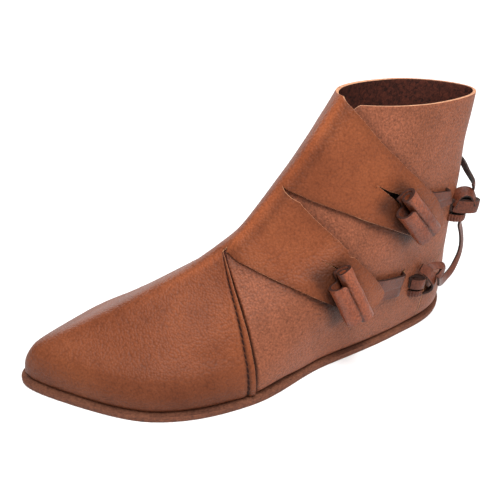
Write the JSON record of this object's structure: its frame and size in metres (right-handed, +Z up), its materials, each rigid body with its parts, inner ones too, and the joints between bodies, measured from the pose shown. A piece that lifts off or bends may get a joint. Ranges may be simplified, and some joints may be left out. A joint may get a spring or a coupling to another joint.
{
  "type": "viking shoe",
  "caption": "Left ankle-high viking shoe in brown leather with a wrap flap, two straps held by rolled leather toggles, and a thong knotted behind them.",
  "frame": {"origin": "on the floor under the middle of the heel seat, 45 mm ahead of the sole's back end", "axes": "+Y to the toe, +Z up, -X the outer side of the left foot, where the shoe fastens"},
  "size_m": [0.1061, 0.2859, 0.1557],
  "materials": {
    "upper_leather": "smooth reddish brown leather, soft sheen, fine grain",
    "toggle_leather": "rolled brown leather, soft sheen",
    "thong_leather": "dark brown thong leather, rough flesh side",
    "sole_leather": "matt sole leather with a raw cut edge",
    "insole_leather": "rough dark brown flesh side"
  },
  "bodies": {
    "root": {"outsole": "sole_leather", "insole": "insole_leather", "upper": "upper_leather", "heel_insert": "upper_leather", "toggle_upper": "toggle_leather", "toggle_lower": "toggle_leather", "knot_lower": "thong_leather", "knot_upper": "thong_leather", "thong_loop": "thong_leather", "thong_back": "thong_leather"}
  },
  "joints": []
}
